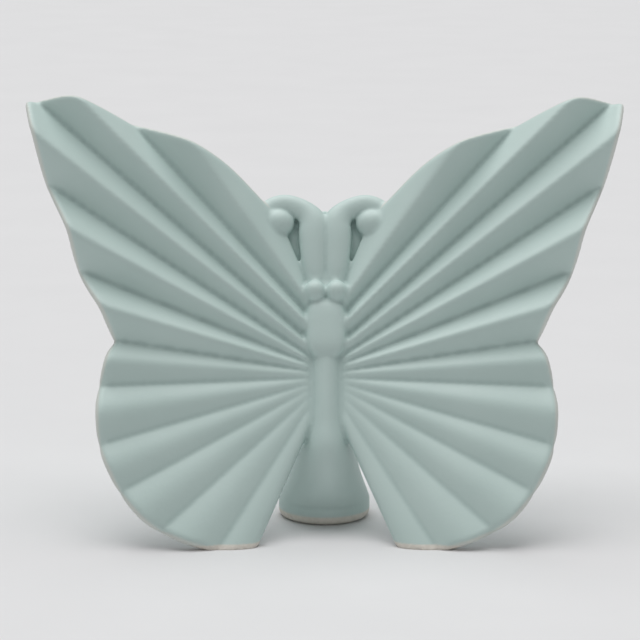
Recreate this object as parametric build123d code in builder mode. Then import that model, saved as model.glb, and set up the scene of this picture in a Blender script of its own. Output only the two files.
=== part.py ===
"""Butterfly ornament: pleated porcelain wings on a waisted body that stands on a flared rear leg."""

import math
import os

from build123d import *

os.makedirs("parts", exist_ok=True)

# Stance: the origin is the centre of the round rear foot, on the table, and the front is -Y
wing_lean = 29  # degrees that the wings lean back from upright
wing_sweep = 10  # degrees that each wing comes forward towards its tip
leg_setback = 26.5  # rear foot's centre, behind the line where the wing planes meet the table

# Wings, in each wing's own leaning plane: reach outward from the spine, rise up the slope
wing_reach = 64.0
wing_rise = 112.4
wall = 3.0  # thickness of the pleated sheet, square to the wing plane
flute_slope = 35  # degrees of each flank of a flute
crest_round_share = 0.30  # crest radius, of the flute's width
flute_reach = 100.0  # length of the flutes before the margin trims them
root_inset = 1.0  # flute roots, inside the body's side
sole_depth = 3.5  # clay left below the table line before the feet are ground flat

# Valley lines of the fluting: heights where they leave the body and angles from the wing's slope
forewing_root_shares = (0.587, 0.482, 0.436, 0.402, 0.386, 0.373)
forewing_angles = (28, 39, 46, 53, 65, 78.5)
hindwing_root_shares = (0.373, 0.361, 0.352, 0.344, 0.335, 0.326, 0.292)
hindwing_angles = (78.5, 90, 104, 116, 128, 142, 152)

# Margins, as shares of the wing's reach and rise
notch_distance = 48.7  # from the root of the valley where forewing and hindwing meet
saddle_distance = 20.9  # from the root of the topmost valley, where the leading edge comes down to it
forewing_margin_shares = ((0.827, 0.584), (0.906, 0.740), (0.986, 0.902))
tip_shares = ((1.0, 0.960), (0.985, 0.988), (0.930, 1.0))
leading_edge_shares = ((0.781, 0.990), (0.469, 0.911), (0.273, 0.826))
hindwing_margin_shares = ((0.775, 0.410), (0.818, 0.300), (0.795, 0.190), (0.690, 0.080), (0.530, 0.024))
foot_outer_share = 0.440
foot_inner_share = 0.285
inner_edge_shares = (0.144, 0.095)
crotch_shares = (0.045, 0.226)

# Web that closes the wings behind the antennae
web_thickness = 1.2
web_top_share = 0.722
web_foot_share = 0.545

# Thorax, head and eyes, measured up the spine and square to it
body_back = 3.4
thorax_bottom = 46.0
thorax_length = 13.6
thorax_width = 9.2
thorax_corner = 3.4
thorax_proud = 4.2
thorax_round = 2.6
eye_radius = 2.5
eye_pitch = 5.7
eye_gap = 0.2  # below the eyes, above the thorax
eye_proud = 2.2
head_width = 9.8
head_corner = 3.0
head_brow = 2.4  # head above the eyes
head_proud = 1.8
head_round = 1.2

# Antennae: two stalks side by side that curl outward into a ball
stalk_foot_radius = 2.4
stalk_top_radius = 2.9
curl_end_radius = 1.8
antenna_seam = 0.2  # each stalk is flattened this much where the two meet
antenna_foot = 1.0  # stalk let into the head
antenna_length = 11.8  # straight stalk above the head
antenna_proud = 0.6
curl_radius = 6.0
curl_turn = 130  # degrees
ball_radius = 3.8
ball_lift = 0.8  # ball's centre, above the curl's centre
ball_shift = 2.2  # ball's centre, outward from the curl's centre
ball_proud = 2.2

# Abdomen that swells into the rear leg
abdomen_top = 52.5
abdomen_proud = 2.6
abdomen_back = 0.7
foot_radius = 12.0
foot_height = 4.5
foot_round = 3.0
leg_height_shares = (0.27, 0.44, 0.60, 0.80, 1.0)
leg_width_shares = (0.82, 0.63, 0.49, 0.37, 0.29)
leg_proud_shares = (-1.35, 0.8, 1.0, 1.1, 1.1)
leg_back_shares = (0.864, 0.670, 0.485, 0.243, 0)  # of the way from the abdomen's back to the foot's

lean = math.radians(wing_lean)
sweep_angle = math.radians(wing_sweep)
spine_foot = (0, -leg_setback, 0)
body_plane = Plane(origin=spine_foot, x_dir=(1, 0, 0), z_dir=(0, -math.cos(lean), math.sin(lean)))
body_front = Axis(spine_foot, body_plane.z_dir)
wing_normal = Vector(-math.tan(sweep_angle), -1, math.tan(lean)).normalized()
wing_plane = Plane(
    origin=spine_foot, x_dir=(math.cos(sweep_angle), -math.sin(sweep_angle), 0), z_dir=wing_normal
)


def on_wing(shares):
    """Point of the wing plane at shares of the wing's reach and rise."""
    return (shares[0] * wing_reach, shares[1] * wing_rise)


def on_valley(root_share, angle, distance):
    """Point of the wing plane along one valley line, at a distance from its root."""
    turn = math.radians(angle)
    return (distance * math.sin(turn) - root_inset, distance * math.cos(turn) + root_share * wing_rise)


def spine_point(height_share):
    """Point of the wing plane, a wall past the plane of symmetry, at a share of the wing's rise."""
    height = height_share * wing_rise
    return (-wing_plane.y_dir.X / wing_plane.x_dir.X * height - wall, height)


def fluted_sheet(root_shares, angles):
    """Pleated sheet: one rounded chevron between each two neighbouring valley lines."""
    valleys = list(zip(root_shares, angles))
    with BuildPart() as sheet:
        for upper, lower in zip(valleys, valleys[1:]):
            for distance in (0, flute_reach):
                start = wing_plane.from_local_coords((*on_valley(*upper, distance), 0))
                chord = wing_plane.from_local_coords((*on_valley(*lower, distance), 0)) - start
                width = chord.length
                height = width / 2 * math.tan(math.radians(flute_slope))
                crest = crest_round_share * width
                with BuildSketch(Plane(origin=start, x_dir=chord, z_dir=chord.cross(wing_normal))):
                    with BuildLine():
                        FilletPolyline((0, 0), (width / 2, height), (width, 0), radius=crest)
                        Line((width, 0), (width, -wall))
                        FilletPolyline((width, -wall), (width / 2, height - wall), (0, -wall), radius=crest)
                        Line((0, -wall), (0, 0))
                    make_face()
            loft(ruled=True)
    return sheet.part


# Thorax: a rounded barrel on the wings' ridge
thorax_top = thorax_bottom + thorax_length
with BuildPart() as thorax:
    with BuildSketch(body_plane.offset(-body_back)):
        with Locations((0, thorax_bottom + thorax_length / 2)):
            RectangleRounded(thorax_width, thorax_length, thorax_corner)
    extrude(amount=body_back + thorax_proud)
    fillet(faces().sort_by(body_front)[-1].edges(), thorax_round)

# Eyes: two beads side by side above the thorax
eye_level = thorax_top + eye_gap + eye_radius
with BuildPart() as right_eye:
    with Locations(body_plane.from_local_coords((eye_pitch / 2, eye_level, eye_proud))):
        Sphere(eye_radius)
with BuildPart() as left_eye:
    mirror(right_eye.part, about=Plane.YZ)

# Head: a low block that carries the eyes and closes down over the thorax
head_top = eye_level + eye_radius + head_brow
head_bottom = thorax_top - thorax_corner / 2
with BuildPart() as head:
    with BuildSketch(body_plane.offset(-body_back)):
        with Locations((0, (head_top + head_bottom) / 2)):
            RectangleRounded(head_width, head_top - head_bottom, head_corner)
    extrude(amount=body_back + head_proud)
    fillet(faces().sort_by(body_front)[-1].edges(), head_round)
    add(thorax.part, mode=Mode.SUBTRACT)
    add(right_eye.part, mode=Mode.SUBTRACT)
    add(left_eye.part, mode=Mode.SUBTRACT)

# Antennae: a stalk that thickens upward, an outward curl that thins, and the ball that it closes on,
# all flat behind, where they lie on the web
web_front = wing_plane.offset(web_thickness - wall)
stalk_foot = (stalk_foot_radius - antenna_seam, head_top - antenna_foot)
stalk_top = (stalk_top_radius - antenna_seam, head_top + antenna_length)
ball_place = (stalk_top[0] + curl_radius + ball_shift, stalk_top[1] + ball_lift, ball_proud)
with BuildPart() as right_antenna:
    with BuildLine(body_plane.offset(antenna_proud)):
        stalk = Line(stalk_foot, stalk_top)
        curl = JernArc(stalk @ 1, stalk % 1, curl_radius, -curl_turn)
    for place, heading, radius in (
        (stalk @ 0, stalk % 0, stalk_foot_radius),
        (stalk @ 1, stalk % 1, stalk_top_radius),
        (curl @ 1, curl % 1, curl_end_radius),
    ):
        with BuildSketch(Plane(origin=place, z_dir=heading)):
            Circle(radius)
    sweep(multisection=True)
    with Locations(curl @ 1):
        Sphere(curl_end_radius)
    with Locations(body_plane.from_local_coords(ball_place)):
        Sphere(ball_radius)
    split(bisect_by=Plane.YZ, keep=Keep.TOP)
    split(bisect_by=web_front, keep=Keep.TOP)
    add(head.part, mode=Mode.SUBTRACT)
    add(right_eye.part, mode=Mode.SUBTRACT)
with BuildPart() as left_antenna:
    mirror(right_antenna.part, about=Plane.YZ)

# Abdomen: narrow under the thorax, it lies on the wings' ridge, then swells back into the round foot
top_back = abdomen_top * math.sin(lean) - leg_setback + abdomen_back
with BuildPart() as abdomen_leg:
    with BuildSketch(Plane.XY.offset(foot_height)):
        Circle(foot_radius)
    for height_share, width_share, proud_share, back_share in zip(
        leg_height_shares, leg_width_shares, leg_proud_shares, leg_back_shares
    ):
        height = height_share * abdomen_top * math.cos(lean)
        ridge = height * math.tan(lean) - leg_setback
        front = ridge - proud_share * abdomen_proud
        back = top_back + back_share * (foot_radius - top_back)
        with BuildSketch(Plane(origin=(0, (front + back) / 2, height))):
            Ellipse(width_share * foot_radius, (back - front) / 2)
    loft()
    with BuildSketch(Plane.XY):
        Circle(foot_radius)
    extrude(amount=foot_height)
    fillet(faces().sort_by(Axis.Z)[0].edges(), foot_round)
    add(thorax.part, mode=Mode.SUBTRACT)

notch = on_valley(forewing_root_shares[-1], forewing_angles[-1], notch_distance)
saddle = on_valley(forewing_root_shares[0], forewing_angles[0], saddle_distance)

# Forewings: five flutes, and the thin web behind the antennae
forewing_sheet = fluted_sheet(forewing_root_shares, forewing_angles)
with BuildPart() as right_forewing:
    add(forewing_sheet)
    with BuildSketch(wing_plane):
        with BuildLine():
            Spline(notch, *[on_wing(point) for point in (*forewing_margin_shares, tip_shares[0])])
            Spline(*[on_wing(point) for point in tip_shares])
            Spline(*[on_wing(point) for point in (tip_shares[2], *leading_edge_shares)], saddle)
            Polyline(saddle, spine_point(web_top_share), spine_point(0), notch)
        make_face()
    extrude(amount=wing_reach, both=True, mode=Mode.INTERSECT)
    with BuildSketch(wing_plane.offset(-wall)):
        with BuildLine():
            Polyline(
                saddle,
                spine_point(web_top_share),
                spine_point(web_foot_share),
                (-root_inset, web_foot_share * wing_rise),
                on_valley(forewing_root_shares[0], forewing_angles[0], 0),
                close=True,
            )
        make_face()
    extrude(amount=web_thickness)
    split(bisect_by=Plane.YZ, keep=Keep.TOP)
    for piece in (thorax, head, right_eye, right_antenna, abdomen_leg):
        add(piece.part, mode=Mode.SUBTRACT)
with BuildPart() as left_forewing:
    mirror(right_forewing.part, about=Plane.YZ)

# Hindwings: six flutes, ground flat where they stand on the table
hindwing_sheet = fluted_sheet(hindwing_root_shares, hindwing_angles)
with BuildPart() as right_hindwing:
    add(hindwing_sheet)
    with BuildSketch(wing_plane):
        with BuildLine():
            Spline(notch, *[on_wing(point) for point in hindwing_margin_shares])
            Polyline(
                on_wing(hindwing_margin_shares[-1]),
                (foot_outer_share * wing_reach, -sole_depth),
                (foot_inner_share * wing_reach, -sole_depth),
                on_wing(inner_edge_shares),
                on_wing(crotch_shares),
                spine_point(web_foot_share),
                notch,
            )
        make_face()
    extrude(amount=wing_reach, both=True, mode=Mode.INTERSECT)
    split(bisect_by=Plane.XY, keep=Keep.TOP)
    for piece in (thorax, abdomen_leg):
        add(piece.part, mode=Mode.SUBTRACT)
with BuildPart() as left_hindwing:
    mirror(right_hindwing.part, about=Plane.YZ)

pieces = {
    "thorax": thorax,
    "head": head,
    "right_eye": right_eye,
    "left_eye": left_eye,
    "right_antenna": right_antenna,
    "left_antenna": left_antenna,
    "abdomen_leg": abdomen_leg,
    "right_forewing": right_forewing,
    "left_forewing": left_forewing,
    "right_hindwing": right_hindwing,
    "left_hindwing": left_hindwing,
}
for name, piece in pieces.items():
    piece.part.label = name
    export_step(piece.part, f"parts/{name}.step")
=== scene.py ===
"""Looks of the butterfly ornament: satin celadon porcelain on a pale studio table.

Each piece is first shaped on its own. All of them are then wrapped in one skin, the way a coat of glaze
runs over the luted seams, and the skin is parted again along those seams into one closed piece per node.
"""

import math

import bmesh
import bpy
import numpy as np
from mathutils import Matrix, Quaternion, Vector
from mathutils.bvhtree import BVHTree


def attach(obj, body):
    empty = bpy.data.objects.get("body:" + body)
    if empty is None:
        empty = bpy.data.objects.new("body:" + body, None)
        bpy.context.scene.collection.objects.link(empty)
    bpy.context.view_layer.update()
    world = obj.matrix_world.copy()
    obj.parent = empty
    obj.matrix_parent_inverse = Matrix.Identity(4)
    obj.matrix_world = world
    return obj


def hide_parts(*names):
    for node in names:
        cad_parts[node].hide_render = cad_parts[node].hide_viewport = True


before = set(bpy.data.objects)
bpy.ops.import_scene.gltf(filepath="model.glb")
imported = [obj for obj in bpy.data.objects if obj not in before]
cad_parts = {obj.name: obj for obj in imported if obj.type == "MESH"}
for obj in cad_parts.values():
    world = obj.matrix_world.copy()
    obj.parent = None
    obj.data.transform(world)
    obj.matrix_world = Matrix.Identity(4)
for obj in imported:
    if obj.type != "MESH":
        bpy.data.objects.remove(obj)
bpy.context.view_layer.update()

# Lengths are in mm up to the making of each piece's mesh
MM = 0.001

# Stance and wing planes, as in the solids
LEAN = math.radians(29)  # of the wings, back from upright
SWEEP = math.radians(10)  # of each wing, forward towards its tip
LEG_SETBACK = 26.5  # rear foot's centre, behind the line where the wing planes meet the table
SPINE_FOOT = np.array((0, -LEG_SETBACK, 0))

# Wings, in each wing's own leaning plane: reach outward from the spine, rise up the slope
WING_REACH = 64.0
WING_RISE = 112.4
WALL = 3.0
FLUTE_REACH = 100.0  # length of the flutes before the margin trims them
ROOT_INSET = 1.0  # flute roots, inside the body's side
ROOT_FADE = (3.4, 5.2)  # distances from the spine over which the flutes rise out of the body

# Valley lines of the fluting: heights where they leave the body, and degrees from the wing's slope
FOREWING_ROOT_SHARES = (0.5765, 0.494, 0.436, 0.402, 0.386, 0.373)
FOREWING_ANGLES = (18, 38, 44.5, 53, 64.8, 78.5)
HINDWING_ROOT_SHARES = (0.373, 0.361, 0.352, 0.344, 0.335, 0.326, 0.292)
HINDWING_ANGLES = (78.5, 90, 104, 116, 129, 143.5, 152)

# Crests of the flutes: place and height as shares of the flute's width, and softness (0 is a knife edge)
FOREWING_CRESTS = (
    (0.71, 0.23, 0.12),
    (0.56, 0.37, 0.12),
    (0.55, 0.37, 0.12),
    (0.55, 0.37, 0.13),
    (0.54, 0.34, 0.15),
)
HINDWING_CRESTS = (
    (0.5, 0.22, 0.3),
    (0.5, 0.165, 0.45),
    (0.5, 0.13, 0.7),
    (0.5, 0.11, 0.9),
    (0.5, 0.10, 1.0),
    (0.5, 0.08, 1.0),
)

# Margins, as shares of the wing's reach and rise
NOTCH_DISTANCE = 48.7  # from the root of the valley where forewing and hindwing meet
SADDLE_DISTANCE = 18.0  # from the root of the topmost valley, where the leading edge comes down to it
SCALLOP = 0.5  # how far the margin draws in at each valley
SCALLOP_POWER = 3  # how closely it keeps to the valley
FOREWING_MARGIN_SHARES = ((0.827, 0.584), (0.906, 0.740), (0.986, 0.902))
TIP_SHARES = ((1.0, 0.970), (0.995, 0.998), (0.940, 1.003))
LEADING_EDGE_SHARES = ((0.781, 0.990), (0.469, 0.911), (0.273, 0.846), (0.133, 0.766))
HINDWING_MARGIN_SHARES = (
    (0.775, 0.410),
    (0.818, 0.300),
    (0.795, 0.190),
    (0.690, 0.080),
    (0.555, 0.026),
    (0.460, 0.004),
)
FOOT_SHARES = ((0.400, -0.031), (0.240, -0.031))

# Web that closes the wings behind the antennae
WEB_THICKNESS = 1.2
WEB_TOP_SHARE = 0.738
WEB_FOOT_SHARE = 0.373
SPINE_OVERLAP = 0.3  # of the two webs, across the plane of symmetry

# Body, measured across, up the spine and square to it; squareness 2 is an ellipsoid
ELLIPSOID = 2
THORAX_PLACE = (0, 52.5, 0.6)
THORAX_HALF = (4.75, 7.3, 3.2)
THORAX_SQUARENESS = 3.4
HEAD_PLACE = (0, 62.8, -0.5)
HEAD_HALF = (5.2, 4.6, 2.7)
HEAD_SQUARENESS = 2.6
EYE_PLACE = (2.6, 61.5, 2.4)
EYE_HALF = (2.6, 2.6, 2.5)

# Antenna from its foot over the curl: across, up the spine, radius
ANTENNA_LINE = (
    (2.2, 61.0, 1.4),
    (2.3, 64.8, 2.3),
    (2.6, 70.0, 3.2),
    (2.7, 75.5, 3.7),
    (2.9, 79.3, 3.5),
    (5.2, 82.3, 2.7),
    (9.4, 83.9, 2.5),
    (12.8, 83.0, 2.5),
    (14.9, 80.6, 2.4),
)
ANTENNA_PROUD = 0.9
ANTENNA_FLATNESS = 0.68
BALL_PLACE = (11.6, 79.1, 1.0)
BALL_HALF = (4.2, 3.5, 2.9)

# Abdomen and rear leg
ABDOMEN_TOP = 52.5
ABDOMEN_PROUD = 2.6
ABDOMEN_BACK = 0.7
FOOT_RADIUS = 11.0
FOOT_HEIGHT = 4.5
FOOT_ROUND = 1.6
LEG_HEIGHT_SHARES = (0.27, 0.44, 0.60, 0.80, 1.0)
LEG_WIDTH_SHARES = (0.76, 0.60, 0.46, 0.35, 0.28)
LEG_PROUD_SHARES = (-1.35, 0.8, 1.0, 1.1, 1.1)
LEG_BACK_SHARES = (0.864, 0.670, 0.485, 0.243, 0)  # of the way from the abdomen's back to the foot's

# Fineness of the shapes
CURVE_STEPS = 16  # between two given points of a line
FLUTE_STEPS = 22
RADIAL_STEPS = 60
RIM_STEPS = 6
RING_STEPS = 48
FOOT_ROUND_STEPS = 12
EDGE_SLACK = 0.02  # of a margin's step, so that no line of a wing slips out between two steps
HALVINGS = 40

# Fineness and softness of the skin
SKIN_VOXEL = 0.42
SKIN_PASSES = 2  # of softening all over
SEAM_PASSES = 12  # of softening at the seams
SEAM_RINGS = 4  # of vertices that count as near a seam
SOFTENING = 0.5  # of the way to the neighbours' mean, each pass
SEAM_DEPTH = 0.5  # how far each piece runs in under its neighbour
STRAY_PASSES = 24
MAJORITY = 0.5  # of a vertex's neighbours, which take it along
HOLLOW_PASSES = 2

# Glaze
BARE_WING_HEIGHT = 1.2  # unglazed bands at the feet
BARE_LEG_HEIGHT = 2.2
BARE_FADE = (0.8, 1.1)  # shares of the band over which the glaze begins
THIN_GLAZE = (0.3, 1.0)  # distances from the wings' margins over which the glaze thickens
THIN_SHOWS = 0.6  # how far the body shows through at the margin itself
POOL_DEPTH = 0.10  # hollowness at which the glaze is at its deepest
GLAZE_PALE = (0.570, 0.698, 0.668)
GLAZE_DEEP = (0.535, 0.665, 0.635)
GLAZE_POOLED = (0.385, 0.51, 0.485)
GLAZE_THIN = (0.74, 0.71, 0.66)
SPECK = (0.22, 0.26, 0.24)
CLAY_PALE = (0.80, 0.76, 0.69)
CLAY_DEEP = (0.72, 0.68, 0.61)
CLAY_ROUGHNESS = 0.85
GLAZE_ROUGHNESS = (0.44, 0.52)
CLOUD_SCALE = 55.0  # patterns, in cells a metre
GRAIN_SCALE = 900.0
SPECK_SCALE = 150.0
SPECK_RARITY = (0.93, 0.94)  # share of the cells that stay clear
SPECK_SIZE = (0.020, 0.035)  # shares of a cell
GRAIN_HEIGHT = 0.0002  # metres
GRAIN_STRENGTH = 0.12

# Stage
FLOOR_RADIUS = 12  # metres
FLOOR_SIDES = 96
FLOOR_PALE = (0.704, 0.704, 0.712)
FLOOR_DEEP = (0.690, 0.690, 0.698)
FLOOR_SCALE = 30.0
FLOOR_ROUGHNESS = 0.7
KEY_ENERGY = 2.55
KEY_SPREAD = math.radians(60)
KEY_TILT = (math.radians(-12), math.radians(-6), 0)
SURROUND_STRENGTH = 0.28

# Camera at the photograph's place
CAMERA_TARGET = Vector((-1.5, -6.5, 49.5)) * MM
CAMERA_DISTANCE = 700 * MM
CAMERA_ELEVATION = math.radians(12)
CAMERA_YAW = math.radians(-1.5)
CAMERA_ROLL = math.radians(0.4)
CAMERA_LENS = 166


class Plane:
    """A working plane: origin and three unit directions, in mm."""

    def __init__(self, origin, across, out):
        self.origin = np.array(origin, float)
        self.across = np.array(across, float)
        self.out = np.array(out, float) / np.linalg.norm(out)
        self.up = np.cross(self.out, self.across)

    def place(self, across, up, out):
        """Points of the row frame at these distances along the plane's directions."""
        parts = ((across, self.across), (up, self.up), (out, self.out))
        return self.origin + sum(np.asarray(d, float)[..., None] * axis for d, axis in parts)


BODY_PLANE = Plane(SPINE_FOOT, (1, 0, 0), (0, -math.cos(LEAN), math.sin(LEAN)))
WING_PLANE = Plane(
    SPINE_FOOT, (math.cos(SWEEP), -math.sin(SWEEP), 0), (-math.tan(SWEEP), -1, math.tan(LEAN))
)


def on_wing(shares):
    """Point of the wing plane at shares of the wing's reach and rise."""
    return np.array((shares[0] * WING_REACH, shares[1] * WING_RISE))


def on_valley(root_share, angle, distance):
    """Point of the wing plane along one valley line, at a distance from its root."""
    turn = math.radians(angle)
    return np.array(
        (distance * math.sin(turn) - ROOT_INSET, distance * math.cos(turn) + root_share * WING_RISE)
    )


def spine_point(height_share):
    """Point of the wing plane just past the plane of symmetry, at a share of the wing's rise."""
    height = height_share * WING_RISE
    return np.array((-WING_PLANE.up[0] / WING_PLANE.across[0] * height - SPINE_OVERLAP, height))


def curve_through(points):
    """Points of a smooth line through the given ones."""
    given = np.array(points, float)
    led = np.vstack([2 * given[0] - given[1], given, 2 * given[-1] - given[-2]])
    t = np.linspace(0, 1, CURVE_STEPS, endpoint=False)[:, None]
    runs = [
        ((2 * b) + (c - a) * t + (2 * a - 5 * b + 4 * c - d) * t**2 + (3 * b - a - 3 * c + d) * t**3) / 2
        for a, b, c, d in zip(led, led[1:], led[2:], led[3:])
    ]
    return np.vstack([*runs, given[-1:]])


def cross2(a, b):
    """Size of the cross product of plane vectors."""
    return a[..., 0] * b[..., 1] - a[..., 1] * b[..., 0]


def unit(vectors):
    """The vectors, each brought to a length of one."""
    return vectors / np.linalg.norm(vectors, axis=1)[:, None]


def smoothstep(low, high, value):
    """Rise from 0 at the low value to 1 at the high one, level at both ends."""
    t = np.clip((value - low) / (high - low), 0, 1)
    return t * t * (3 - 2 * t)


def bullnose(depth):
    """Share of the wall's thickness at this depth inside a rounded edge."""
    return np.sqrt(np.clip(1 - (1 - np.clip(depth / (WALL / 2), 0, 1)) ** 2, 0, 1))


def grid_faces(rows, columns, offset=0, closed=False):
    """Quads of a grid of points laid out row by row; closed joins each row's end to its start."""
    faces = []
    for r in range(rows - 1):
        for c in range(columns if closed else columns - 1):
            n = (c + 1) % columns
            a, b = offset + r * columns, offset + (r + 1) * columns
            faces.append((a + c, a + n, b + n, b + c))
    return faces


def closed_sheet(front, back):
    """Closed body between two grids of points of one layout."""
    rows, columns = front.shape[:2]
    size = rows * columns
    index = np.arange(size).reshape(rows, columns)
    faces = grid_faces(rows, columns) + [face[::-1] for face in grid_faces(rows, columns, size)]
    border = np.concatenate([index[0], index[1:, -1], index[-1, -2::-1], index[-2:0:-1, 0]]).tolist()
    for p, q in zip(border, [*border[1:], border[0]]):
        faces.append((q, p, p + size, q + size))
    return np.vstack([front.reshape(-1, 3), back.reshape(-1, 3)]), faces


def meet_margin(start, heading, outline):
    """How far along each line the outline is met, and the sine of the angle between them there."""
    along = np.diff(outline, axis=0)
    apart = outline[None, :-1] - start[:, None]
    spread = cross2(heading[:, None], along[None])
    reach = cross2(apart, along[None]) / spread
    share = cross2(apart, np.broadcast_to(heading[:, None], apart.shape)) / spread
    reach[(share < -EDGE_SLACK) | (share > 1 + EDGE_SLACK) | (reach < ROOT_INSET)] = np.inf
    met = reach.argmin(axis=1)
    return reach.min(axis=1), np.abs(cross2(unit(heading), unit(along[met])))


def fluted_wing(root_shares, angles, crests, outline, free_side=False):
    """Closed sheet of soft-crested flutes with a rounded margin, flat where it meets the table.

    It is laid out in lines from the roots to the margin. A free side, which has no neighbour, is
    rounded too.
    """
    valleys = list(zip(root_shares, angles))
    roots = np.array([on_valley(*valley, 0) for valley in valleys])
    ends = np.array([on_valley(*valley, FLUTE_REACH) for valley in valleys])
    flutes = len(valleys) - 1
    line = np.linspace(0, flutes, flutes * FLUTE_STEPS + 1)
    flute = np.minimum(line.astype(int), flutes - 1)
    across = line - flute
    t = across[:, None]
    start = roots[flute] * (1 - t) + roots[flute + 1] * t
    heading = (ends[flute] * (1 - t) + ends[flute + 1] * t - start) / FLUTE_REACH
    margin, steepness = meet_margin(start, heading, outline)

    place, crest, softness = np.array(crests)[flute].T
    off_crest = np.where(across < place, 1 - across / place, (across - place) / (1 - place))
    margin = margin - SCALLOP * off_crest**SCALLOP_POWER
    peak = np.sqrt(1 + softness**2)
    profile = (peak - np.sqrt(off_crest**2 + softness**2)) / (peak - softness) * crest

    def surface(distance, side):
        """Points of the front (side 1) or the back (side -1) at these distances along each line."""
        flat = start[:, None] + distance[..., None] * heading[:, None]
        d = distance[..., None] / FLUTE_REACH
        root_chord, end_chord = (p[flute + 1] - p[flute] for p in (roots, ends))
        chord = root_chord[:, None] * (1 - d) + end_chord[:, None] * d
        width = np.linalg.norm(chord, axis=-1)
        from_spine = flat @ np.array((WING_PLANE.across[0], WING_PLANE.up[0]))
        height = width * profile[:, None] * smoothstep(*ROOT_FADE, from_spine)
        half = bullnose((margin[:, None] - distance) * steepness[:, None])
        if free_side:
            half = np.where((flute == flutes - 1)[:, None], half * bullnose(width * (1 - t)), half)
        return WING_PLANE.place(flat[..., 0], flat[..., 1], height + (side * half - 1) * WALL / 2)

    rim = WALL / 2 * (1 - np.cos(np.linspace(math.pi / 2, 0, RIM_STEPS + 1)))
    rim_start = margin - WALL / 2 / steepness
    inner = np.linspace(0, 1, RADIAL_STEPS, endpoint=False)
    stations = np.hstack([inner * rim_start[:, None], margin[:, None] - rim / steepness[:, None]])
    sides = []
    for side in (1, -1):
        low, high = np.zeros(len(line)), margin.copy()
        for _ in range(HALVINGS):  # towards the last distance that is still above the table
            middle = (low + high) / 2
            above = surface(middle[:, None], side)[:, 0, 2] > 0
            low, high = np.where(above, middle, low), np.where(above, high, middle)
        sides.append(surface(stations * (high / margin)[:, None], side))
    return closed_sheet(*sides)


def web():
    """Thin plate that closes the wing behind the antenna."""
    top_valley = (FOREWING_ROOT_SHARES[0], FOREWING_ANGLES[0])
    corners = np.array(
        (
            on_valley(*top_valley, SADDLE_DISTANCE),
            spine_point(WEB_TOP_SHARE),
            spine_point(WEB_FOOT_SHARE),
            (WALL, WEB_FOOT_SHARE * WING_RISE),
            on_valley(*top_valley, 0) + (WALL, 0),
        )
    )
    count = len(corners)
    levels = (-WALL, WEB_THICKNESS - WALL)
    points = np.vstack([WING_PLANE.place(*corners.T, np.full(count, level)) for level in levels])
    ring = range(count)
    faces = [tuple(ring), tuple(count + k for k in reversed(ring))]
    faces += [(k, count + k, count + (k + 1) % count, (k + 1) % count) for k in ring]
    return points, faces


def rounded_block(place, half, squareness):
    """Ball drawn out to these half sizes; more squareness is fuller at the corners."""
    bm = bmesh.new()
    bmesh.ops.create_uvsphere(bm, u_segments=RING_STEPS, v_segments=RING_STEPS // 2, radius=1)
    ball = np.array([v.co for v in bm.verts])
    faces = [tuple(v.index for v in f.verts) for f in bm.faces]
    bm.free()
    swell = (np.abs(ball) ** squareness).sum(axis=1) ** (-1 / squareness)
    local = ball * swell[:, None] * np.array(half) + np.array(place)
    return BODY_PLANE.place(*local.T), faces


def rings(loops):
    """Closed body through a stack of loops of points."""
    stack = np.array(loops)
    count, around = stack.shape[:2]
    faces = grid_faces(count, around, closed=True)
    faces += [tuple(reversed(range(around))), tuple(range((count - 1) * around, count * around))]
    return stack.reshape(-1, 3), faces


def antenna():
    """Stalk that thickens upward and its outward curl, as one tapering tube."""
    line = curve_through(ANTENNA_LINE)
    heading = unit(np.gradient(line[:, :2], axis=0))
    turn = np.linspace(0, 2 * math.pi, RING_STEPS, endpoint=False)
    loops = []
    for (across, up, radius), (run, rise) in zip(line, heading):
        aside = radius * np.cos(turn)
        proud = ANTENNA_PROUD + ANTENNA_FLATNESS * radius * np.sin(turn)
        loops.append(BODY_PLANE.place(across + aside * rise, up - aside * run, proud))
    return rings(loops)


def abdomen_leg():
    """Abdomen on the wings' ridge that swells back and down into the round foot."""
    # Height, half width, front and back of each level
    foot = []
    for turn in np.linspace(0, math.pi / 2, FOOT_ROUND_STEPS):
        radius = FOOT_RADIUS - FOOT_ROUND * (1 - math.sin(turn))
        foot.append((FOOT_ROUND * (1 - math.cos(turn)), radius, -radius, radius))
    back_at_top = ABDOMEN_TOP * math.sin(LEAN) - LEG_SETBACK + ABDOMEN_BACK
    leg = [(FOOT_HEIGHT, FOOT_RADIUS, -FOOT_RADIUS, FOOT_RADIUS)]
    for height_share, width_share, proud_share, back_share in zip(
        LEG_HEIGHT_SHARES, LEG_WIDTH_SHARES, LEG_PROUD_SHARES, LEG_BACK_SHARES
    ):
        height = height_share * ABDOMEN_TOP * math.cos(LEAN)
        front = height * math.tan(LEAN) - LEG_SETBACK - proud_share * ABDOMEN_PROUD
        back = back_at_top + back_share * (FOOT_RADIUS - back_at_top)
        leg.append((height, width_share * FOOT_RADIUS, front, back))
    around = np.linspace(0, 2 * math.pi, RING_STEPS, endpoint=False)
    loops = []
    for height, half, front, back in [*foot, *curve_through(leg)]:
        x, y = half * np.cos(around), (front + back) / 2 + (back - front) / 2 * np.sin(around)
        loops.append(np.stack([x, y, np.full(len(around), height)], axis=1))
    return rings(loops)


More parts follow.
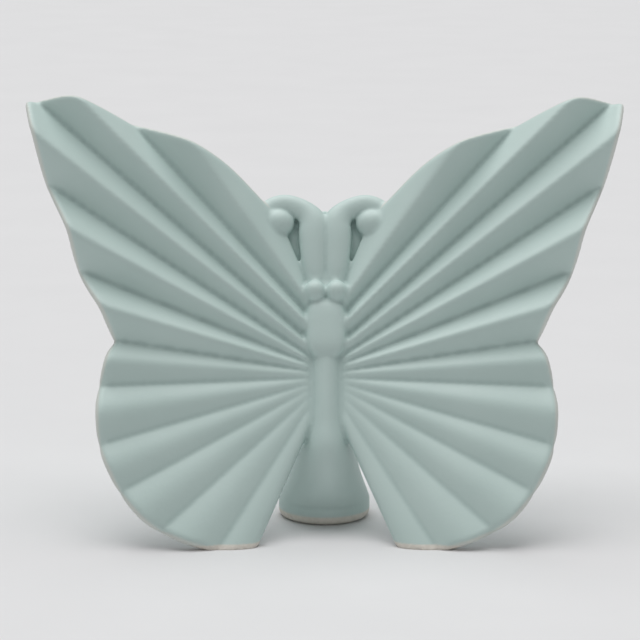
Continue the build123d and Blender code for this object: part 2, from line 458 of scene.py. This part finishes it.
notch = on_valley(FOREWING_ROOT_SHARES[-1], FOREWING_ANGLES[-1], NOTCH_DISTANCE)
saddle = on_valley(FOREWING_ROOT_SHARES[0], FOREWING_ANGLES[0], SADDLE_DISTANCE)
forewing_outline = np.vstack(
    [
        curve_through([notch, *map(on_wing, FOREWING_MARGIN_SHARES), on_wing(TIP_SHARES[0])]),
        curve_through([on_wing(point) for point in TIP_SHARES])[1:],
        curve_through([on_wing(TIP_SHARES[-1]), *map(on_wing, LEADING_EDGE_SHARES), saddle])[1:],
    ]
)
hindwing_outline = np.vstack(
    [
        curve_through([notch, *map(on_wing, HINDWING_MARGIN_SHARES)]),
        [on_wing(point) for point in FOOT_SHARES],
    ]
)


def all_shapes():
    """The shapes that make up each piece, as points and faces."""
    forewing = fluted_wing(FOREWING_ROOT_SHARES, FOREWING_ANGLES, FOREWING_CRESTS, forewing_outline)
    hindwing = fluted_wing(
        HINDWING_ROOT_SHARES, HINDWING_ANGLES, HINDWING_CRESTS, hindwing_outline, free_side=True
    )
    shapes = {
        "thorax": [rounded_block(THORAX_PLACE, THORAX_HALF, THORAX_SQUARENESS)],
        "head": [rounded_block(HEAD_PLACE, HEAD_HALF, HEAD_SQUARENESS)],
        "abdomen_leg": [abdomen_leg()],
    }
    paired = {
        "eye": [rounded_block(EYE_PLACE, EYE_HALF, ELLIPSOID)],
        "antenna": [antenna(), rounded_block(BALL_PLACE, BALL_HALF, ELLIPSOID)],
        "forewing": [forewing, web()],
        "hindwing": [hindwing],
    }
    for name, parts in paired.items():
        shapes["right_" + name] = parts
        shapes["left_" + name] = [
            (points * (-1, 1, 1), [face[::-1] for face in faces]) for points, faces in parts
        ]
    return shapes


def gather(shapes):
    """All the shapes in one list of points and one of faces, and the piece that each face belongs to."""
    all_points, all_faces, owners = [], [], []
    offset = 0
    for piece, parts in enumerate(shapes.values()):
        for points, faces in parts:
            all_points.append(points)
            all_faces += [tuple(k + offset for k in face) for face in faces]
            owners += [piece] * len(faces)
            offset += len(points)
    return np.vstack(all_points), all_faces, owners


def mesh_rows(items, field, size, kind=float):
    """One field of a mesh's items, a row of this size for each."""
    values = np.empty(len(items) * size, kind)
    items.foreach_get(field, values)
    return values.reshape(-1, size)


class Skin:
    """One closed skin over all the shapes, in mm."""

    def __init__(self, points, faces):
        gathered = bpy.data.objects.new("gathered", bpy.data.meshes.new("gathered"))
        gathered.data.from_pydata(points.tolist(), [], faces)
        bpy.context.scene.collection.objects.link(gathered)
        wrap = gathered.modifiers.new("wrap", "REMESH")
        wrap.mode = "VOXEL"
        wrap.voxel_size = SKIN_VOXEL
        wrapped = gathered.evaluated_get(bpy.context.evaluated_depsgraph_get())
        self.mesh = bpy.data.meshes.new_from_object(wrapped)
        bpy.data.objects.remove(gathered)
        self.vertices = mesh_rows(self.mesh.vertices, "co", 3)
        self.edges = mesh_rows(self.mesh.edges, "vertices", 2, int)
        self.quads = mesh_rows(self.mesh.loops, "vertex_index", 1, int).reshape(-1, 4)
        self.near = np.concatenate([self.edges[:, 0], self.edges[:, 1]])
        self.far = np.concatenate([self.edges[:, 1], self.edges[:, 0]])
        self.valence = np.bincount(self.near, minlength=len(self.vertices))
        self.normals = None  # known once the skin is softened

    def neighbour_mean(self, values):
        """Mean of the values at each vertex's neighbours."""
        count = len(values)
        columns = values.reshape(count, -1).T
        sums = [np.bincount(self.near, weights=column[self.far], minlength=count) for column in columns]
        return (np.stack(sums, axis=1) / self.valence[:, None]).reshape(values.shape)

    def largest_patches(self, labels):
        """The largest joined patch of each label, as lists of vertices."""
        root = list(range(len(labels)))

        def find(k):
            while root[k] != k:
                root[k] = root[root[k]]
                k = root[k]
            return k

        for a, b in self.edges[labels[self.edges[:, 0]] == labels[self.edges[:, 1]]].tolist():
            root[find(a)] = find(b)
        patch = np.array([find(k) for k in range(len(root))])
        for label in range(labels.max() + 1):
            counts = np.bincount(patch[labels == label])
            yield np.flatnonzero(patch == counts.argmax())

    def soften(self, near_seam):
        """Smooth a little all over, and more in the seams, where slip and glaze fill the corner."""
        standing = self.vertices[:, 2] < SKIN_VOXEL / 2
        for number in range(SEAM_PASSES):
            weight = near_seam if number >= SKIN_PASSES else np.ones(len(self.vertices))
            step = (self.neighbour_mean(self.vertices) - self.vertices) * SOFTENING * weight[:, None]
            step[standing, 2] = 0
            self.vertices = self.vertices + step
        self.mesh.vertices.foreach_set("co", self.vertices.ravel())
        self.mesh.update()
        self.normals = mesh_rows(self.mesh.vertex_normals, "vector", 3)


def nearest_pieces(skin, points, faces, owners):
    """The piece under each vertex of the skin."""
    tree = BVHTree.FromPolygons(points.tolist(), faces)
    nearest = np.array([owners[tree.find_nearest(v)[2]] for v in skin.vertices.tolist()])
    for name in names:
        if name.startswith("left_"):
            left, right = names.index(name), names.index(name.replace("left_", "right_"))
            pair = (nearest == left) | (nearest == right)
            nearest[pair] = np.where(skin.vertices[pair, 0] < 0, left, right)
    rise = (skin.vertices - SPINE_FOOT) @ BODY_PLANE.up
    for name in ("left_antenna", "right_antenna"):  # which spring from the top of the head
        sunk = (nearest == names.index(name)) & (rise < HEAD_PLACE[1] + HEAD_HALF[1])
        nearest[sunk] = names.index("head")
    return nearest


def join_strays(skin, nearest):
    """The piece of each vertex, with every piece in one patch, and which vertices belong to none.

    Vertices outside their piece's main patch go with their neighbours. Those of closed voids have none
    to go with.
    """
    piece_of = nearest
    stray = np.ones(len(skin.vertices), bool)
    for patch in skin.largest_patches(piece_of):
        stray[patch] = False
    for _ in range(STRAY_PASSES):
        held = [((piece_of == piece) & ~stray).astype(float) for piece in range(len(names))]
        shares = np.stack([skin.neighbour_mean(vertices) for vertices in held], axis=1)
        piece_of = np.where((shares.max(axis=1) > MAJORITY) | stray, shares.argmax(axis=1), piece_of)
        stray &= shares.max(axis=1) == 0
    return piece_of, stray


def seam_nearness(skin, piece_of):
    """How near each vertex lies to a seam; the valley between two wings is none."""
    one, other = piece_of[skin.edges].T
    crossing = (one != other) & ~(is_wing[one] & is_wing[other])
    nearness = np.zeros(len(skin.vertices))
    nearness[skin.edges[crossing].ravel()] = 1
    for _ in range(SEAM_RINGS):
        nearness = np.maximum(nearness, skin.neighbour_mean(nearness))
    return nearness


def hollowness(skin):
    """How hollow the skin is at each vertex, for the glaze to pool in; ridges are below 0."""
    dip = skin.neighbour_mean(skin.vertices) - skin.vertices
    hollow = (dip * skin.normals).sum(axis=1) / SKIN_VOXEL
    for _ in range(HOLLOW_PASSES):
        hollow = (hollow + skin.neighbour_mean(hollow)) / 2
    return hollow


def margin_distance(skin):
    """Distance of each vertex from the wings' margins, along the wing plane."""
    folded = np.abs(skin.vertices[:, :1]) * (1, 0, 0) + skin.vertices * (0, 1, 1) - SPINE_FOOT
    plan = np.stack([folded @ WING_PLANE.across, folded @ WING_PLANE.up], axis=1)
    nearest = np.full(len(plan), np.inf)
    for outline in (forewing_outline, hindwing_outline):
        for start, end in zip(outline, outline[1:]):
            along = end - start
            share = np.clip((plan - start) @ along / (along @ along), 0, 1)
            nearest = np.minimum(nearest, np.linalg.norm(plan - start - share[:, None] * along, axis=1))
    return nearest


def lid(points):
    """Triangles over a closed loop of points, with the shortest sides in all."""
    count = len(points)
    length = np.linalg.norm(points[:, None] - points[None], axis=-1)
    best = np.zeros((count, count))
    middle = np.zeros((count, count), int)
    for span in range(2, count):
        i = np.arange(count - span)
        k = i[:, None] + np.arange(1, span)
        j = i + span
        total = best[i[:, None], k] + best[k, j[:, None]]
        choice = total.argmin(axis=1)
        best[i, j] = total[i, choice] + length[i, j]
        middle[i, j] = k[i, choice]
    triangles, spans = [], [(0, count - 1)]
    while spans:
        i, j = spans.pop()
        if j - i > 1:
            k = middle[i, j]
            triangles.append((i, k, j))
            spans += [(i, k), (k, j)]
    return triangles


def seam_loops(bm):
    """The open borders of a mesh, each as its vertices in turn."""
    left = {e: e.link_loops[0] for e in bm.edges if e.is_boundary}
    loops = []
    while left:
        corner = left.pop(next(iter(left)))
        loops.append([])
        while corner:
            loops[-1].append(corner.vert)
            corner = corner.link_loop_next
            while not corner.edge.is_boundary:
                corner = corner.link_loop_radial_next.link_loop_next
            corner = left.pop(corner.edge, None)
    return loops


def closed_piece(name, skin, quads, tints):
    """Mesh of one piece: its part of the skin, run in under the neighbours and closed there."""
    used, corners = np.unique(quads, return_inverse=True)
    mesh = bpy.data.meshes.new(name)
    mesh.from_pydata((skin.vertices[used] * MM).tolist(), [], corners.reshape(-1, 4).tolist())
    bm = bmesh.new()
    bm.from_mesh(mesh)
    source = list(used)  # the skin's vertex that each of the piece's comes from
    for seam in seam_loops(bm):
        origin = [used[v.index] for v in seam]
        inward = [Vector(normal) * SEAM_DEPTH * MM for normal in skin.normals[origin]]
        under = [bm.verts.new(v.co - depth) for v, depth in zip(seam, inward)]
        source += origin
        for k in range(len(seam)):
            bm.faces.new((seam[k], seam[k - 1], under[k - 1], under[k]))
        under.reverse()
        for triangle in lid(np.array([v.co for v in under])):
            bm.faces.new([under[k] for k in triangle])
    bm.to_mesh(mesh)
    bm.free()
    mesh.shade_smooth()
    mesh.normals_split_custom_set_from_vertices(skin.normals[source].tolist())
    for tint, values in tints.items():
        layer = mesh.attributes.new(tint, "FLOAT", "POINT")
        layer.data.foreach_set("value", values[source].astype(np.float32))
    return mesh


def rgba(colour):
    """A colour, or a level of grey, that covers fully."""
    return (*colour, 1) if isinstance(colour, tuple) else (colour, colour, colour, 1)


class Nodes:
    """A material's node tree, with short calls for adding and joining nodes."""

    # Places of the mixing node's colour sockets
    FACTOR, FIRST, SECOND, RESULT = 0, 6, 7, 2

    def __init__(self, name):
        self.material = bpy.data.materials.new(name)
        self.material.use_nodes = True
        self.tree = self.material.node_tree
        self.shader = self.tree.nodes["Principled BSDF"]

    def feed(self, socket, value):
        """Join a socket to another node's output, or set its own value."""
        if isinstance(value, bpy.types.NodeSocket):
            self.tree.links.new(value, socket)
        else:
            socket.default_value = value

    def add(self, kind, inputs=None, **settings):
        """New node with these settings and inputs."""
        node = self.tree.nodes.new("ShaderNode" + kind)
        for key, value in settings.items():
            setattr(node, key, value)
        for socket, value in (inputs or {}).items():
            self.feed(node.inputs[socket], value)
        return node

    def attribute(self, name):
        """Values that the piece's mesh carries."""
        return self.add("Attribute", attribute_name=name).outputs["Fac"]

    def noise(self, place, scale, detail):
        """Cloudy pattern."""
        return self.add("TexNoise", {"Vector": place, "Scale": scale, "Detail": detail}).outputs["Fac"]

    def ramp(self, value, stops):
        """Colour that changes with a value, from stop to stop."""
        node = self.add("ValToRGB", {"Fac": value})
        elements = node.color_ramp.elements
        for element, (position, colour) in zip(elements, stops, strict=True):
            element.position = position
            element.color = rgba(colour)
        return node.outputs["Color"]

    def mix(self, factor, first, second, blend="MIX"):
        """Colour between two others; the first is another node's output."""
        node = self.add("Mix", data_type="RGBA", blend_type=blend)
        self.feed(node.inputs[self.FACTOR], factor)
        self.feed(node.inputs[self.FIRST], first)
        self.feed(node.inputs[self.SECOND], second)
        return node.outputs[self.RESULT]


def celadon():
    """Satin celadon glaze: deeper where it pools, thin at the margins, with bare clay at the feet."""
    n = Nodes("celadon_glaze")
    place = n.add("TexCoord").outputs["Object"]
    cloud = n.noise(place, CLOUD_SCALE, 3.0)
    grain = n.noise(place, GRAIN_SCALE, 4.0)
    cells = n.add("TexVoronoi", {"Vector": place, "Scale": SPECK_SCALE}).outputs
    bare = n.attribute("bare")

    glaze = n.ramp(cloud, [(0.3, GLAZE_DEEP), (0.7, GLAZE_PALE)])
    pool = n.ramp(n.attribute("hollow"), [(0.0, 0.0), (POOL_DEPTH, 1.0)])
    pooled = n.mix(pool, glaze, rgba(GLAZE_POOLED))
    thin = n.ramp(n.attribute("thin"), [(0.0, 0.0), (1.0, THIN_SHOWS)])
    broken = n.mix(thin, pooled, rgba(GLAZE_THIN))
    rare = n.ramp(cells["Color"], [(SPECK_RARITY[0], 0.0), (SPECK_RARITY[1], 1.0)])
    dot = n.ramp(cells["Distance"], [(SPECK_SIZE[0], 1.0), (SPECK_SIZE[1], 0.0)])
    specked = n.mix(n.mix(1.0, rare, dot, "MULTIPLY"), broken, rgba(SPECK))
    clay = n.ramp(grain, [(0.35, CLAY_DEEP), (0.65, CLAY_PALE)])
    n.feed(n.shader.inputs["Base Color"], n.mix(bare, specked, clay))

    satin = n.ramp(grain, [(0.3, GLAZE_ROUGHNESS[0]), (0.7, GLAZE_ROUGHNESS[1])])
    n.feed(n.shader.inputs["Roughness"], n.mix(bare, satin, rgba(CLAY_ROUGHNESS)))
    bump = n.add("Bump", {"Strength": GRAIN_STRENGTH, "Distance": GRAIN_HEIGHT, "Height": grain})
    n.feed(n.shader.inputs["Normal"], bump.outputs["Normal"])
    return n.material


def table():
    """Matt white of the table, with a faint unevenness."""
    n = Nodes("table")
    paper = n.noise(n.add("TexCoord").outputs["Object"], FLOOR_SCALE, 3.0)
    n.feed(n.shader.inputs["Base Color"], n.ramp(paper, [(0.3, FLOOR_DEEP), (0.7, FLOOR_PALE)]))
    n.feed(n.shader.inputs["Roughness"], FLOOR_ROUGHNESS)
    return n.material


def new_object(name, data):
    """New object in the scene."""
    made = bpy.data.objects.new(name, data)
    bpy.context.scene.collection.objects.link(made)
    return made


# The skin over all the pieces, and the piece that each part of it belongs to
piece_shapes = all_shapes()
names = list(piece_shapes)
is_wing = np.array(["wing" in name for name in names])
shape_points, shape_faces, face_owners = gather(piece_shapes)
glaze_skin = Skin(shape_points, shape_faces)
vertex_piece, in_void = join_strays(
    glaze_skin, nearest_pieces(glaze_skin, shape_points, shape_faces, face_owners)
)
glaze_skin.soften(seam_nearness(glaze_skin, vertex_piece))

# What the glaze does where
on_a_wing = is_wing[vertex_piece]
bare_height = np.where(on_a_wing, BARE_WING_HEIGHT, BARE_LEG_HEIGHT)
glaze_tints = {
    "hollow": hollowness(glaze_skin),
    "bare": 1 - smoothstep(*BARE_FADE, glaze_skin.vertices[:, 2] / bare_height),
    "thin": on_a_wing * (1 - smoothstep(*THIN_GLAZE, margin_distance(glaze_skin))),
}

# One closed piece per node; closed voids inside the body are left out
seen_quads = glaze_skin.quads[~in_void[glaze_skin.quads].any(axis=1)]
quad_piece = np.sort(vertex_piece[seen_quads], axis=1)[:, 1]
glaze_material = celadon()
for piece, name in enumerate(names):
    piece_mesh = closed_piece("glazed_" + name, glaze_skin, seen_quads[quad_piece == piece], glaze_tints)
    piece_object = new_object("glazed_" + name, piece_mesh)
    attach(piece_object, "root")
    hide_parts(name)
    piece_mesh.materials.append(glaze_material)

# Pale table that runs back out of sight
floor_mesh = bpy.data.meshes.new("floor")
disc = bmesh.new()
bmesh.ops.create_circle(disc, cap_ends=True, radius=FLOOR_RADIUS, segments=FLOOR_SIDES)
disc.to_mesh(floor_mesh)
disc.free()
floor = new_object("floor", floor_mesh)
floor_mesh.materials.append(table())

# Soft overhead studio light and an even surround
key = bpy.data.lights.new("key", "SUN")
key.energy = KEY_ENERGY
key.angle = KEY_SPREAD
new_object("key", key).rotation_euler = KEY_TILT
world = bpy.data.worlds.new("surround")
world.use_nodes = True
surround = world.node_tree.nodes["Background"]
surround.inputs["Color"].default_value = rgba(1)
surround.inputs["Strength"].default_value = SURROUND_STRENGTH
bpy.context.scene.world = world

camera_data = bpy.data.cameras.new("camera")
camera_data.lens = CAMERA_LENS
camera = new_object("camera", camera_data)
towards = Vector(
    (
        math.sin(CAMERA_YAW) * math.cos(CAMERA_ELEVATION),
        -math.cos(CAMERA_YAW) * math.cos(CAMERA_ELEVATION),
        math.sin(CAMERA_ELEVATION),
    )
)
camera.location = CAMERA_TARGET + towards * CAMERA_DISTANCE
aim = (-towards).to_track_quat("-Z", "Y")
camera.rotation_euler = (aim @ Quaternion((0, 0, 1), CAMERA_ROLL)).to_euler()
bpy.context.scene.camera = camera
bpy.context.scene.view_settings.view_transform = "Standard"
